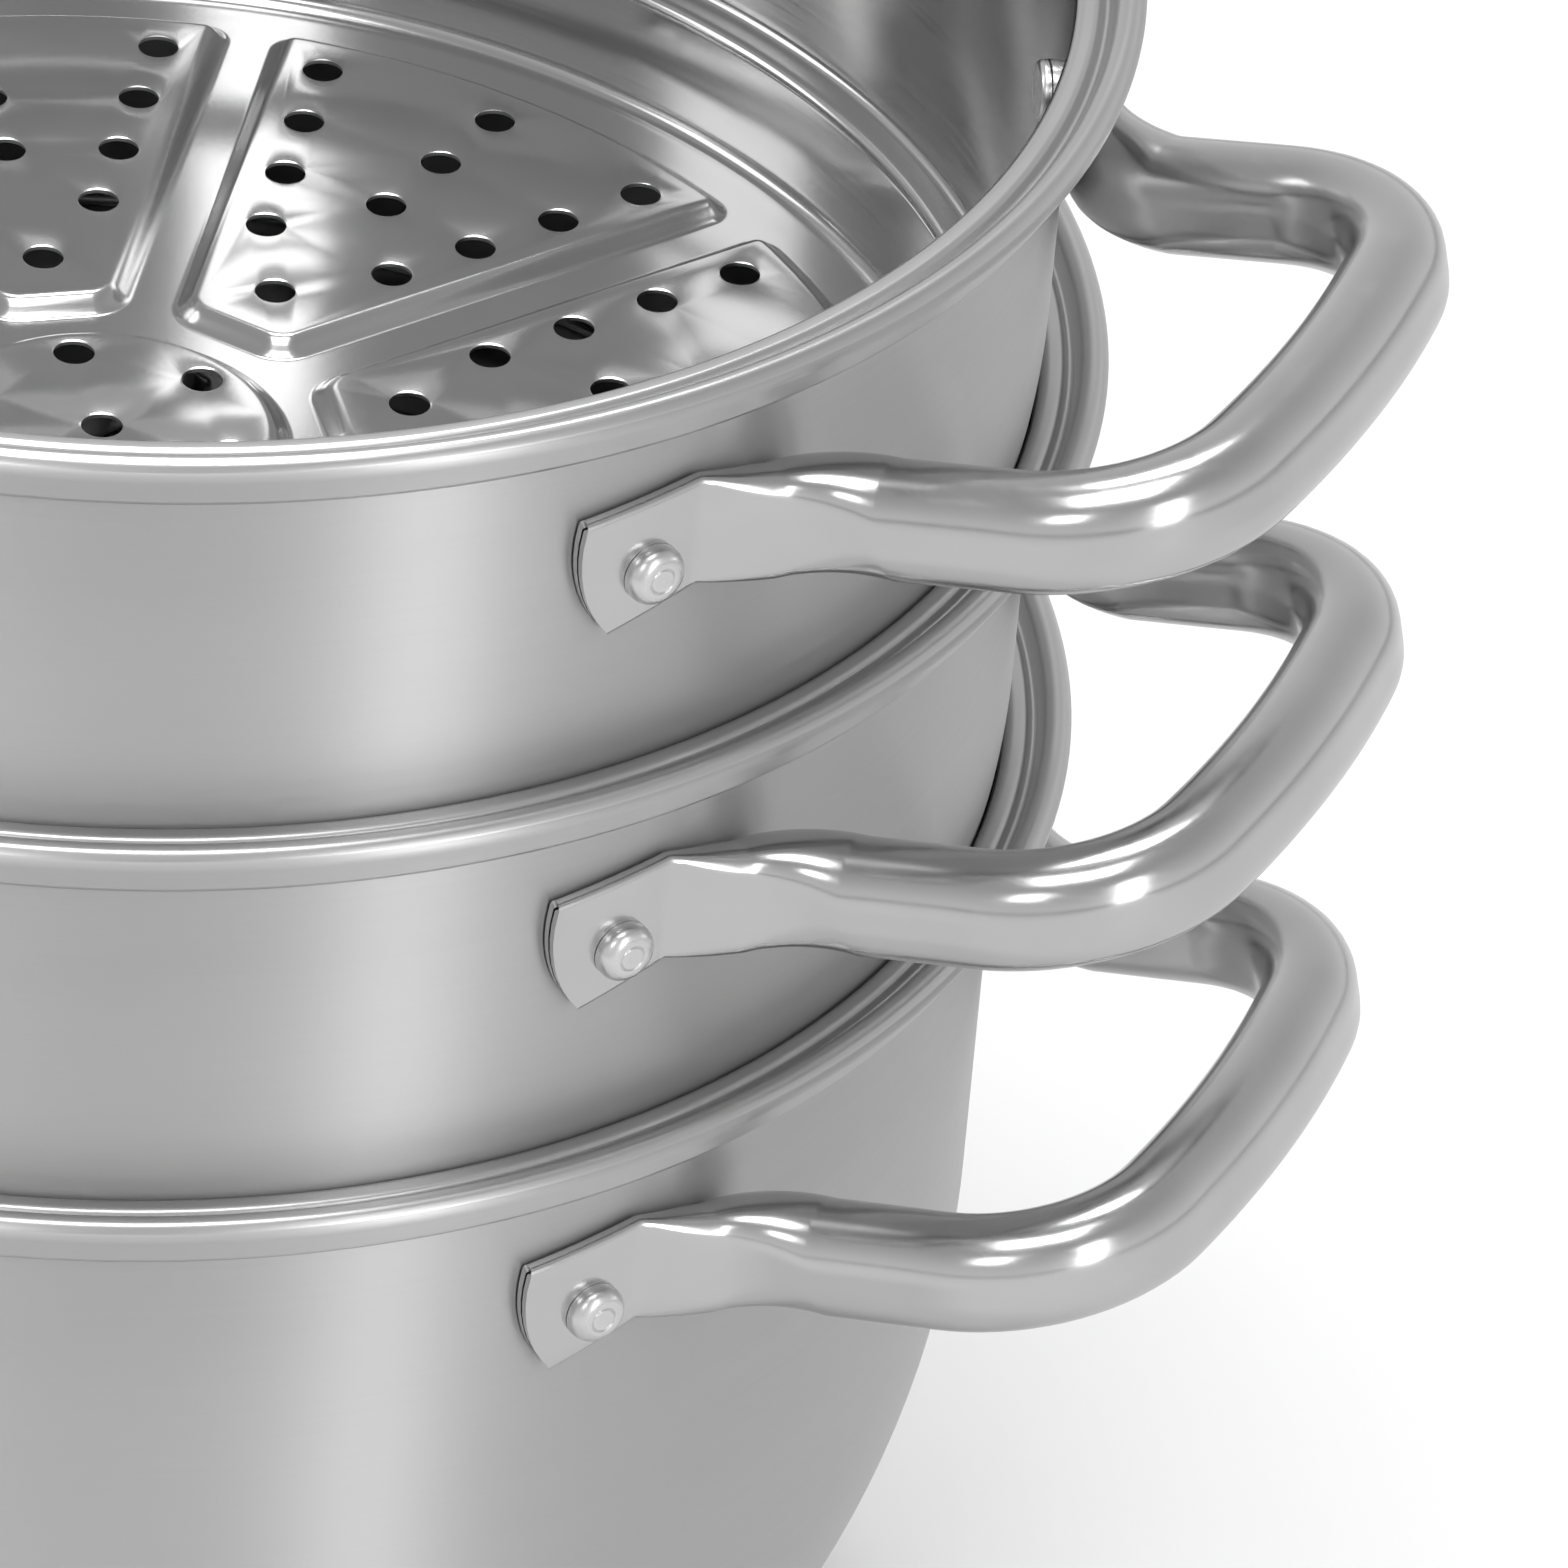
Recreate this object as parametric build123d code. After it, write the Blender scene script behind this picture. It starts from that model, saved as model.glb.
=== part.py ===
from build123d import *
import math
import os

os.makedirs("parts", exist_ok=True)

# Driving dimensions of the pan set, in millimetres.
wall_radius = 140.0
sheet_thickness = 0.8
tier_pitch = 65.0
pot_height = 190.0
basket_depth = 94.5

# Rim of every tier: a bead, a groove, an outer lip and a skirt curled back to the wall.
bead_width = 3.0
bead_drop = 2.4
bead_corner_radius = 1.6
groove_width = 3.4
groove_depth = 5.0
groove_corner_radius = 1.0
lip_width = 3.8
lip_corner_radius = 1.5
skirt_inset = 3.8
skirt_height = 8.6
skirt_corner_radius = 1.2
lip_drop = 2.2
curl_gap = 0.5

# Pot body: straight wall, a deep belly and a flat bottom.
belly_start = 108.0
belly_radius = 148.0
belly_straight = 1.5
pot_corner_radius = 14.0

# Bonded base under the pot: a heat-spreading core in a pressed cap.
core_thickness = 4.5
core_inset = 10.6
core_edge_radius = 1.0
cap_thickness = 0.6
cap_lip_clearance = 0.2

# Basket body: the wall leans in at the bottom, then a ledge, a spigot and the floor.
lean_radius = 95.0
lean_angle = 10.0
ledge_depth = 74.0
ledge_corner_radius = 2.2
spigot_inset = 8.0
spigot_root_radius = 1.5
floor_corner_radius = 3.0
seat_gap = 0.3

# Pressed pattern of the basket floor: eight raised panels round a raised hub.
panel_count = 8
panel_phase = 38.0
panel_rise = 2.5
panel_slope = 40.0
panel_inner_radius = 35.5
panel_margin = 11.0
panel_corner_radius = 4.0
channel_half_width = 3.6
hub_radius = 28.5

# Steam holes.
hole_radius = 3.3
hole_pitch = 15.7
hole_row_offset = 13.2
hole_row_start = 62.1
hole_row_count = 4
hole_apex_radius = 47.4
hole_middle_start = 78.7
hole_middle_count = 3
hub_hole_ring_radius = 20.4
hub_hole_count = 6
hub_hole_phase = 9.0

# Looped handle, bent from one tube and flattened at both ends.
handle_drop = 33.5
leg_half_spacing = 50.0
rivet_leg_spacing = 24.0
handle_projection = 53.0
handle_tilt = 13.0
grip_bow_radius = 210.0
grip_corner_radius = 26.0
root_bend_radius = 14.5
fold_distance = 8.0
tube_height = 17.4
tube_width = 14.6
tube_wall = 1.0
plate_thickness = 2.6
plate_gap = 0.28
plate_slit = 0.4
plate_end_radius = 20.7
plate_end_reach = 11.6
plate_end_rise = 4.9
plate_overhang = 16.0
plate_end_height = 22.0
plate_end_sag = 1.0
fold_height = 18.2
fold_sag = -4.0
section_round_share = 0.92
plate_steps = 6
swell_steps = 2
bend_steps = 5
leg_steps = 3
corner_steps = 5
grip_steps = 3

# Rivets.
rivet_shank_radius = 2.5
rivet_clearance = 0.1
rivet_head_radius = 4.6
rivet_head_height = 3.0
rivet_head_edge_radius = 2.2
rivet_mark_radius = 2.1
rivet_mark_width = 0.4
rivet_mark_depth = 0.3
rivet_inner_radius = 4.8
rivet_inner_height = 1.6
rivet_inner_edge_radius = 1.0
rivet_seat_gap = 0.1

# One overrun for every cutting tool.
overrun = 2.0

# Derived places.
half_sheet = sheet_thickness / 2
mid_wall_radius = wall_radius - half_sheet
inner_wall_radius = wall_radius - sheet_thickness
pot_floor_level = cap_thickness + core_thickness + half_sheet
spigot_radius = wall_radius - spigot_inset
panel_outer_radius = spigot_radius - panel_margin
rivet_half_spacing = leg_half_spacing + rivet_leg_spacing
handle_reach = wall_radius + handle_projection
tiers = {
    "pot": pot_height,
    "middle_basket": pot_height + tier_pitch,
    "upper_basket": pot_height + tier_pitch + tier_pitch,
}
sides = {"right": 0, "left": 180}
ends = {"front": -1, "back": 1}


def turn_between(before, corner, after):
    """Signed turn of an outline at a corner, in radians."""
    heading_in = math.atan2(corner[1] - before[1], corner[0] - before[0])
    heading_out = math.atan2(after[1] - corner[1], after[0] - corner[0])
    turn = heading_out - heading_in
    return math.atan2(math.sin(turn), math.cos(turn))


def rounded_edges(points, radii):
    """Edges of an open outline whose corners carry the given radii."""
    edges = []
    start = points[0]
    for index in range(1, len(points) - 1):
        before, corner, after = points[index - 1], points[index], points[index + 1]
        turn = turn_between(before, corner, after)
        radius = radii[index]
        reach = radius * math.tan(abs(turn) / 2)
        heading_in = math.atan2(corner[1] - before[1], corner[0] - before[0])
        heading_out = heading_in + turn
        arc_start = (corner[0] - reach * math.cos(heading_in),
                     corner[1] - reach * math.sin(heading_in))
        arc_end = (corner[0] + reach * math.cos(heading_out),
                   corner[1] + reach * math.sin(heading_out))
        side = math.copysign(1, turn)
        centre = (arc_start[0] - side * radius * math.sin(heading_in),
                  arc_start[1] + side * radius * math.cos(heading_in))
        middle_heading = heading_in + turn / 2
        arc_middle = (centre[0] + side * radius * math.sin(middle_heading),
                      centre[1] - side * radius * math.cos(middle_heading))
        edges.append(Line(start, arc_start))
        edges.append(ThreePointArc(arc_start, arc_middle, arc_end))
        start = arc_end
    edges.append(Line(start, points[-1]))
    return edges


def shifted_outline(points, radii, offset):
    """Outline moved sideways by an offset, with its corner radii changed to suit."""
    headings = [math.atan2(b[1] - a[1], b[0] - a[0]) for a, b in zip(points, points[1:])]
    normals = [(-math.sin(heading), math.cos(heading)) for heading in headings]
    moved = [(points[0][0] + offset * normals[0][0], points[0][1] + offset * normals[0][1])]
    moved_radii = [0]
    for index in range(1, len(points) - 1):
        turn = turn_between(points[index - 1], points[index], points[index + 1])
        middle = headings[index - 1] + turn / 2
        stretch = offset / math.cos(turn / 2)
        moved.append((points[index][0] - stretch * math.sin(middle),
                      points[index][1] + stretch * math.cos(middle)))
        moved_radii.append(radii[index] - math.copysign(1, turn) * offset)
    moved.append((points[-1][0] + offset * normals[-1][0], points[-1][1] + offset * normals[-1][1]))
    moved_radii.append(0)
    return moved, moved_radii


def sheet_solid(points, radii, thickness):
    """Sheet-metal body spun round the Z axis from the middle line of its section."""
    left, left_radii = shifted_outline(points, radii, thickness / 2)
    right, right_radii = shifted_outline(points, radii, -thickness / 2)
    edges = rounded_edges(left, left_radii)
    edges.append(Line(left[-1], right[-1]))
    edges += rounded_edges(right, right_radii)
    edges.append(Line(left[0], right[0]))
    section = make_face(Wire(edges))
    return revolve(Plane.XZ * section, Axis.Z)


def rim_line(lip_level):
    """Middle line of the rim, from the end of the curl to the top of the wall."""
    bead_outer = mid_wall_radius + bead_width
    lip_inner = bead_outer + groove_width
    lip_outer = lip_inner + lip_width
    skirt_foot = lip_outer - skirt_inset
    top = lip_level - half_sheet
    points = [
        (wall_radius + curl_gap + half_sheet, top - skirt_height),
        (skirt_foot, top - skirt_height),
        (lip_outer, top - lip_drop),
        ((lip_inner + lip_outer) / 2, top),
        (lip_inner, top - lip_drop / 2),
        ((bead_outer + lip_inner) / 2, top - groove_depth),
        (bead_outer, top - bead_drop),
        (mid_wall_radius, top - bead_drop),
    ]
    radii = [
        0,
        skirt_corner_radius,
        lip_corner_radius,
        lip_corner_radius,
        lip_corner_radius,
        groove_corner_radius,
        groove_corner_radius,
        bead_corner_radius,
    ]
    return points, radii


def belly_angle():
    """Angle that the pot's belly turns through down to the bottom's corner, in radians."""
    sink = belly_start - pot_floor_level - pot_corner_radius
    run = belly_radius - pot_corner_radius
    return math.asin(sink / math.hypot(run, belly_straight)) - math.atan2(belly_straight, run)


def belly_corner_level():
    """Level at which the wall's line meets the line of the belly's foot."""
    return belly_start - belly_radius * math.tan(belly_angle() / 2)


def belly_foot_radius():
    """Radius at which the line of the belly's foot meets the bottom."""
    return mid_wall_radius - (belly_corner_level() - pot_floor_level) * math.tan(belly_angle())


def core_radius():
    """Radius of the heat-spreading core, inside the flat of the bottom."""
    return belly_foot_radius() - core_inset


def pot_line():
    """Middle line of the pot's sheet, from the rim to the centre of its bottom."""
    points, radii = rim_line(pot_height)
    points.append((mid_wall_radius, belly_corner_level()))
    radii.append(belly_radius)
    points.append((belly_foot_radius(), pot_floor_level))
    radii.append(pot_corner_radius)
    points.append((0, pot_floor_level))
    radii.append(0)
    return points, radii


def pot_shell():
    """Drawn pot with its rim."""
    points, radii = pot_line()
    return sheet_solid(points, radii, sheet_thickness)


def base_core():
    """Heat-spreading disc bonded under the pot."""
    disc = Pos(0, 0, cap_thickness + core_thickness / 2) * Cylinder(core_radius(), core_thickness)
    return fillet(disc.edges().group_by(Axis.Z)[0], core_edge_radius)


def base_cap():
    """Pressed cap that wraps the core's underside and edge."""
    outer_radius = core_radius() + cap_lip_clearance + cap_thickness
    points = [
        (0, cap_thickness / 2),
        (outer_radius - cap_thickness / 2, cap_thickness / 2),
        (outer_radius - cap_thickness / 2, cap_thickness + core_thickness),
    ]
    return sheet_solid(points, [0, core_edge_radius, 0], cap_thickness)


def basket_line():
    """Middle line of a basket's sheet, from its rim at level zero to its floor's centre."""
    points, radii = rim_line(0)
    seat_level = -tier_pitch - half_sheet - bead_drop - bead_corner_radius
    lean_in = seat_gap + sheet_thickness
    lean_height = math.sqrt(2 * lean_radius * lean_in - lean_in * lean_in)
    lean_turn = math.radians(lean_angle)
    lean_corner = seat_level + lean_height - lean_radius * math.tan(lean_turn / 2)
    ledge_level = -ledge_depth - half_sheet
    ledge_outer = mid_wall_radius - (lean_corner - ledge_level) * math.tan(lean_turn)
    floor_level = -basket_depth - half_sheet
    points += [
        (mid_wall_radius, lean_corner),
        (ledge_outer, ledge_level),
        (spigot_radius - half_sheet, ledge_level),
        (spigot_radius - half_sheet, floor_level),
        (0, floor_level),
    ]
    radii += [lean_radius, ledge_corner_radius, spigot_root_radius, floor_corner_radius, 0]
    return points, radii


def panel_outline(inset):
    """Flat outline of one raised panel about the X axis, shrunk by an inset."""
    half_angle = math.radians(180 / panel_count)
    edge_gap = channel_half_width + inset
    inner = panel_inner_radius + inset
    outer = panel_outer_radius - inset
    inner_turn = half_angle - math.asin(edge_gap / inner)
    outer_turn = half_angle - math.asin(edge_gap / outer)
    inner_low = (inner * math.cos(inner_turn), -inner * math.sin(inner_turn))
    inner_high = (inner_low[0], -inner_low[1])
    outer_low = (outer * math.cos(outer_turn), -outer * math.sin(outer_turn))
    outer_high = (outer_low[0], -outer_low[1])
    outline = Wire([
        Line(inner_high, inner_low),
        Line(inner_low, outer_low),
        ThreePointArc(outer_low, (outer, 0), outer_high),
        Line(outer_high, inner_high),
    ])
    panel = make_face(outline)
    return fillet(panel.vertices(), panel_corner_radius)


def raised_form(face_at, level, rise):
    """Solid between a wide foot and a narrow top, both drawn by face_at."""
    slope_run = rise / math.tan(math.radians(panel_slope))
    foot = Pos(0, 0, level) * face_at(0)
    top = Pos(0, 0, level + rise) * face_at(slope_run)
    return loft([foot, top], ruled=True)


def hub_outline(inset):
    """Flat outline of the raised hub, shrunk by an inset."""
    return make_face(CenterArc((0, 0), hub_radius - inset, 0, 360))


def hole_places():
    """Centres of the steam holes in the floor."""
    places = [(0, 0)]
    for index in range(hub_hole_count):
        angle = math.radians(hub_hole_phase + 360 / hub_hole_count * index)
        places.append((hub_hole_ring_radius * math.cos(angle), hub_hole_ring_radius * math.sin(angle)))
    half_angle = math.radians(180 / panel_count)
    local = [(hole_apex_radius, 0)]
    for index in range(hole_middle_count):
        local.append((hole_middle_start + hole_pitch * index, 0))
    for index in range(hole_row_count):
        along = hole_row_start + hole_pitch * index
        x = along * math.cos(half_angle) + hole_row_offset * math.sin(half_angle)
        y = along * math.sin(half_angle) - hole_row_offset * math.cos(half_angle)
        local += [(x, y), (x, -y)]
    for index in range(panel_count):
        turn = math.radians(panel_phase + 360 / panel_count * index)
        for x, y in local:
            places.append((x * math.cos(turn) - y * math.sin(turn), x * math.sin(turn) + y * math.cos(turn)))
    return places


def basket_shell():
    """Steamer basket with its lip at level zero: rim, wall, ledge and pierced floor."""
    points, radii = basket_line()
    shell = sheet_solid(points, radii, sheet_thickness)
    top_level = -basket_depth
    under_level = top_level - sheet_thickness
    panel_up = raised_form(panel_outline, top_level - half_sheet, panel_rise + half_sheet)
    hub_up = raised_form(hub_outline, top_level - half_sheet, panel_rise + half_sheet)
    sheet_shift = sheet_thickness * math.tan(math.radians(panel_slope) / 2)
    slope_lead = overrun / math.tan(math.radians(panel_slope))

    def panel_under(inset):
        return panel_outline(inset + sheet_shift - slope_lead)

    def hub_under(inset):
        return hub_outline(inset + sheet_shift - slope_lead)

    panel_down = raised_form(panel_under, under_level - overrun, panel_rise + overrun)
    hub_down = raised_form(hub_under, under_level - overrun, panel_rise + overrun)
    turns = [panel_phase + 360 / panel_count * index for index in range(panel_count)]
    shell = shell + [hub_up] + [Rot(0, 0, turn) * panel_up for turn in turns]
    shell = shell - ([hub_down] + [Rot(0, 0, turn) * panel_down for turn in turns])
    drill_height = panel_rise + sheet_thickness + overrun
    drill = Cylinder(hole_radius, drill_height + overrun)
    drill_level = under_level + drill_height / 2
    return shell - [Pos(x, y, drill_level) * drill for x, y in hole_places()]


def plate_middle_radius():
    """Radius of the middle of a handle plate that lies on the wall."""
    return wall_radius + plate_gap + plate_thickness / 2


def rivet_azimuth():
    """Angle between a handle's middle and either of its rivets, in degrees."""
    return math.degrees(math.asin(rivet_half_spacing / plate_middle_radius()))


def rivet_frame(side, end):
    """Place of a rivet below a lip at level zero, with its Z axis pointing out of the wall."""
    facing = ends[end] * math.cos(math.radians(sides[side]))
    azimuth = sides[side] + math.copysign(rivet_azimuth(), facing)
    return Pos(0, 0, -handle_drop) * Rot(0, 0, azimuth) * Rot(0, 90, 0)


def shank_hole(side, end):
    """Cutter for a rivet's hole through the wall and the plate."""
    depth = plate_thickness + sheet_thickness + 2 * overrun
    drill = Cylinder(rivet_shank_radius + rivet_clearance, depth)
    return rivet_frame(side, end) * Pos(0, 0, inner_wall_radius - overrun + depth / 2) * drill


def rivet(side, end):
    """Rivet with a domed outer head, its struck mark, a shank and a low inner head."""
    outer_start = wall_radius + plate_gap + plate_thickness
    inner_end = inner_wall_radius - rivet_seat_gap
    head = Pos(0, 0, outer_start + rivet_head_height / 2) * Cylinder(rivet_head_radius, rivet_head_height)
    head = fillet(head.edges().group_by(Axis.Z)[-1], rivet_head_edge_radius)
    ring = Cylinder(rivet_mark_radius, 2 * rivet_mark_depth)
    ring -= Cylinder(rivet_mark_radius - rivet_mark_width, 2 * rivet_mark_depth)
    head -= Pos(0, 0, outer_start + rivet_head_height) * ring
    shank_length = outer_start - inner_end
    shank = Pos(0, 0, (outer_start + inner_end) / 2) * Cylinder(rivet_shank_radius, shank_length)
    inner = Pos(0, 0, inner_end - rivet_inner_height / 2) * Cylinder(rivet_inner_radius, rivet_inner_height)
    inner = fillet(inner.edges().group_by(Axis.Z)[0], rivet_inner_edge_radius)
    return rivet_frame(side, end) * (head + shank + inner)


def fold_turn():
    """Azimuth of the fold where a plate starts to swell, from the handle's middle, in radians."""
    return math.radians(rivet_azimuth()) - fold_distance / plate_middle_radius()


def bend_outer_radius():
    """Radius of the root bend along the tube's face towards the wall."""
    return root_bend_radius + tube_width / 2


def root_turn():
    """Azimuth at which the tube leaves the wall, from the handle's middle, in radians."""
    spread = wall_radius + plate_gap + bend_outer_radius()
    return math.asin((leg_half_spacing + root_bend_radius) / spread)


def section_width(swell):
    """Width of the tube where it has swollen by a share of its full width."""
    return plate_thickness + swell * (tube_width - plate_thickness)


def plate_stations():
    """Stations along one plate: place, heading, lean, swelling, height and sag."""
    middle = plate_middle_radius()
    far_turn = math.radians(rivet_azimuth()) + plate_overhang / middle
    stations = []
    for index in range(plate_steps):
        share = index / plate_steps
        turn = far_turn + share * (fold_turn() - far_turn)
        place = (middle * math.cos(turn), middle * math.sin(turn), 0)
        heading = (math.sin(turn), -math.cos(turn), 0)
        height = plate_end_height + share * (fold_height - plate_end_height)
        sag = plate_end_sag + share * (fold_sag - plate_end_sag)
        stations.append((place, heading, 0, 0, height, sag))
    return stations


def swelling_stations():
    """Stations from the fold to the end of the root bend, where the plate swells into the tube."""
    wall_run = (fold_turn() - root_turn()) * (wall_radius + plate_gap)
    bend_run = (math.pi / 2 - root_turn()) * bend_outer_radius()
    root_share = wall_run / (wall_run + bend_run)
    slope = math.tan(math.radians(handle_tilt))
    spread = wall_radius + plate_gap + bend_outer_radius()
    bend_reach = spread * math.cos(root_turn())
    start_reach = (wall_radius + plate_gap + section_width(swollen(root_share)) / 2) * math.cos(root_turn())
    stations = []
    for index in range(swell_steps + bend_steps + 1):
        on_wall = min(index / swell_steps, 1)
        in_bend = max(index - swell_steps, 0) / bend_steps
        share = root_share * on_wall + (1 - root_share) * in_bend
        half_width = section_width(swollen(share)) / 2
        turn = fold_turn() + on_wall * (root_turn() - fold_turn()) + in_bend * (math.pi / 2 - root_turn())
        if index < swell_steps:
            arm = wall_radius + plate_gap + half_width
            place = (arm * math.cos(turn), arm * math.sin(turn), 0)
            heading = (math.sin(turn), -math.cos(turn), 0)
        else:
            arm = bend_outer_radius() - half_width
            reach = bend_reach - arm * math.cos(turn)
            side = leg_half_spacing + root_bend_radius - arm * math.sin(turn)
            place = (reach, side, slope * (reach - start_reach))
            heading = (math.sin(turn), -math.cos(turn), slope * math.sin(turn))
        height = fold_height + share * (tube_height - fold_height)
        stations.append((place, heading, share, swollen(share), height, fold_sag * (1 - share)))
    return stations


def swollen(share):
    """Swelling of the tube at a share of the way from the fold to the end of the bend."""
    return share * (2 - share)


def leg_end_reach():
    """Distance from the axis at which the straight leg ends and the grip's corner starts."""
    corner_run = grip_bow_radius - grip_corner_radius
    corner_side = leg_half_spacing - grip_corner_radius
    bow_depth = grip_bow_radius - math.sqrt(corner_run * corner_run - corner_side * corner_side)
    return handle_reach - bow_depth * math.cos(math.radians(handle_tilt))


def loop_stations():
    """Stations from the straight of the leg, round the corner, to the middle of the grip."""
    tilt = math.radians(handle_tilt)
    root = swelling_stations()[-1][0]
    bow_centre = (handle_reach - root[0]) / math.cos(tilt) - grip_bow_radius
    corner_side = leg_half_spacing - grip_corner_radius
    corner_rise = (leg_end_reach() - root[0]) / math.cos(tilt)
    meet_turn = math.atan2(corner_rise - bow_centre, corner_side)
    flat = [(leg_half_spacing, corner_rise * index / leg_steps, 0) for index in range(1, leg_steps)]
    for index in range(corner_steps):
        turn = meet_turn * index / corner_steps
        side = corner_side + grip_corner_radius * math.cos(turn)
        flat.append((side, corner_rise + grip_corner_radius * math.sin(turn), turn))
    for index in range(grip_steps + 1):
        turn = meet_turn + (math.pi / 2 - meet_turn) * index / grip_steps
        rise = bow_centre + grip_bow_radius * math.sin(turn)
        flat.append((grip_bow_radius * math.cos(turn), rise, turn))
    stations = []
    for side, rise, turn in flat:
        place = (root[0] + rise * math.cos(tilt), side, root[2] + rise * math.sin(tilt))
        forward = math.cos(turn)
        heading = (forward * math.cos(tilt), -math.sin(turn), forward * math.sin(tilt))
        stations.append((place, heading, 1, 1, tube_height, 0))
    return stations


def mirrored_station(station):
    """Station on the other half of a handle, travelled the same way along the tube."""
    place, heading, lean, swell, height, sag = station
    return (place[0], -place[1], place[2]), (-heading[0], heading[1], -heading[2]), lean, swell, height, sag


def tube_face(station, hollow):
    """Rounded section of the tube, or of its hollow, at one station."""
    place, heading, lean, swell, height, sag = station
    lean_turn = math.radians(handle_tilt * lean)
    along = Vector(*heading).normalized()
    across = along.cross(Vector(-math.sin(lean_turn), 0, math.cos(lean_turn))).normalized()
    width = section_width(swell)
    if hollow:
        hollow_width = tube_width - tube_wall - tube_wall
        width = plate_slit + swell * (hollow_width - plate_slit)
        height -= tube_wall + tube_wall
    plane = Plane(origin=(place[0], place[1], place[2] - sag), x_dir=across, z_dir=along)
    return plane * RectangleRounded(width, height, section_round_share * width / 2)


def handle_tube(hollow):
    """Whole bent tube of a handle, or its hollow, from one plate end to the other."""
    half = plate_stations() + swelling_stations() + loop_stations()
    stations = half + [mirrored_station(station) for station in reversed(half[:-1])]
    return loft([tube_face(station, hollow) for station in stations])


def end_trim(end):
    """Cutter that leaves a handle plate with its rounded end."""
    inward = -ends[end]
    frame = rivet_frame("right", end) * Rot(0, 0, 90)
    centre = inward * (plate_end_radius - plate_end_reach)
    span = 2 * plate_end_radius + plate_overhang
    block = Box(span, 2 * span, span)
    keep = Cylinder(plate_end_radius, 2 * span)
    cutter = Pos(-inward * span / 2, 0, 0) * block - keep
    return frame * Pos(centre, plate_end_rise, wall_radius) * cutter


def handle():
    """Looped handle for the right side of a tier whose lip is at level zero."""
    tube = Pos(0, 0, -handle_drop) * (handle_tube(False) - handle_tube(True))
    for end in ends:
        tube -= end_trim(end)
        tube -= shank_hole("right", end)
    return tube


def rivet_places():
    """Side and end of every rivet on one tier."""
    return [(side, end) for side in sides for end in ends]


def build_parts():
    """Every node of the pan set, placed where it stands."""
    parts = {"base_core": base_core(), "base_cap": base_cap()}
    drills = [shank_hole(side, end) for side, end in rivet_places()]
    basket = basket_shell() - drills
    grip = handle()
    rivets = {(side, end): rivet(side, end) for side, end in rivet_places()}
    for tier, lip_level in tiers.items():
        lift = Pos(0, 0, lip_level)
        if tier == "pot":
            parts["pot_shell"] = pot_shell() - [lift * drill for drill in drills]
        else:
            parts[tier + "_shell"] = lift * basket
        for side, turn in sides.items():
            parts[tier + "_handle_" + side] = lift * Rot(0, 0, turn) * grip
        for side, end in rivet_places():
            parts[tier + "_rivet_" + side + "_" + end] = lift * rivets[side, end]
    return parts


for name, shape in build_parts().items():
    shape.label = name
    export_step(shape, "parts/" + name + ".step")
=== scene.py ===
"""Tiered steamer pot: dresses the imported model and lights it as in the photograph."""

import logging
import math
from dataclasses import dataclass, field
from enum import Enum

import bmesh
import bpy
from mathutils import Matrix, Vector


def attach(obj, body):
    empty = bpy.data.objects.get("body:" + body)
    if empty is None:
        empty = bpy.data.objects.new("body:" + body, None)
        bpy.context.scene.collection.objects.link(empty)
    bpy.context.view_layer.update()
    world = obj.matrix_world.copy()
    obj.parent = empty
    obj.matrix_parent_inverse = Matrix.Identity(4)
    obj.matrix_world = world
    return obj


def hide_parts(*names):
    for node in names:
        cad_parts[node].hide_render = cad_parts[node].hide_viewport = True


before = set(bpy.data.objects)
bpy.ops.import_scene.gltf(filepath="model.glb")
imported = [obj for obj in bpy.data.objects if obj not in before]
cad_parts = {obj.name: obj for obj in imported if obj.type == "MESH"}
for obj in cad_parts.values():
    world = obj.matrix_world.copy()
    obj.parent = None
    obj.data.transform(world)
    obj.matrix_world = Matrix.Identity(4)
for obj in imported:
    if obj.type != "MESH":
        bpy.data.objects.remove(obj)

LOG = logging.getLogger("steamer")
MM = 0.001
SHARP_EDGE = math.radians(38)
# Sockets of a Mix node on colours: its two colours and its result.
COLOUR_A, COLOUR_B, COLOUR_OUT = 6, 7, 2
Place = tuple[float, float, float]
Point = tuple[float, float]


class Tier(Enum):
    """The stacked vessels, each with the level of its lip in millimetres."""

    POT = ("pot", 190.0)
    MIDDLE = ("middle_basket", 255.0)
    UPPER = ("upper_basket", 320.0)

    @property
    def body(self) -> str:
        """Name of the body that carries this vessel."""
        return self.value[0]

    @property
    def lip(self) -> float:
        """Level of the lip, in millimetres."""
        return self.value[1]


class Side(Enum):
    """Sides that carry a handle, each with its turn about the pot's axis."""

    RIGHT = ("right", 0.0)
    LEFT = ("left", 180.0)

    @property
    def word(self) -> str:
        """Word for this side in the names of nodes."""
        return self.value[0]

    @property
    def degrees(self) -> float:
        """Turn about the pot's axis, in degrees."""
        return self.value[1]


class End(Enum):
    """Ends of a handle: front is towards -Y and back towards +Y."""

    FRONT = ("front", -1)
    BACK = ("back", 1)

    @property
    def word(self) -> str:
        """Word for this end in the names of nodes."""
        return self.value[0]

    @property
    def sign(self) -> int:
        """Sign of Y at this end."""
        return self.value[1]


class Skin(Enum):
    """Places in a vessel's list of finishes."""

    INSIDE = 0
    OUTSIDE = 1
    RIM = 2


def linear(code: str) -> tuple[float, float, float, float]:
    """Turns an sRGB hex colour into linear light.

    Args:
        code: Colour such as "#B0B0B0".

    Returns:
        Linear red, green, blue and an alpha of one.
    """
    channels = [int(code[index:index + 2], 16) / 255 for index in (1, 3, 5)]
    light = [c / 12.92 if c <= 0.04045 else ((c + 0.055) / 1.055) ** 2.4 for c in channels]
    return light[0], light[1], light[2], 1.0


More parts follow.
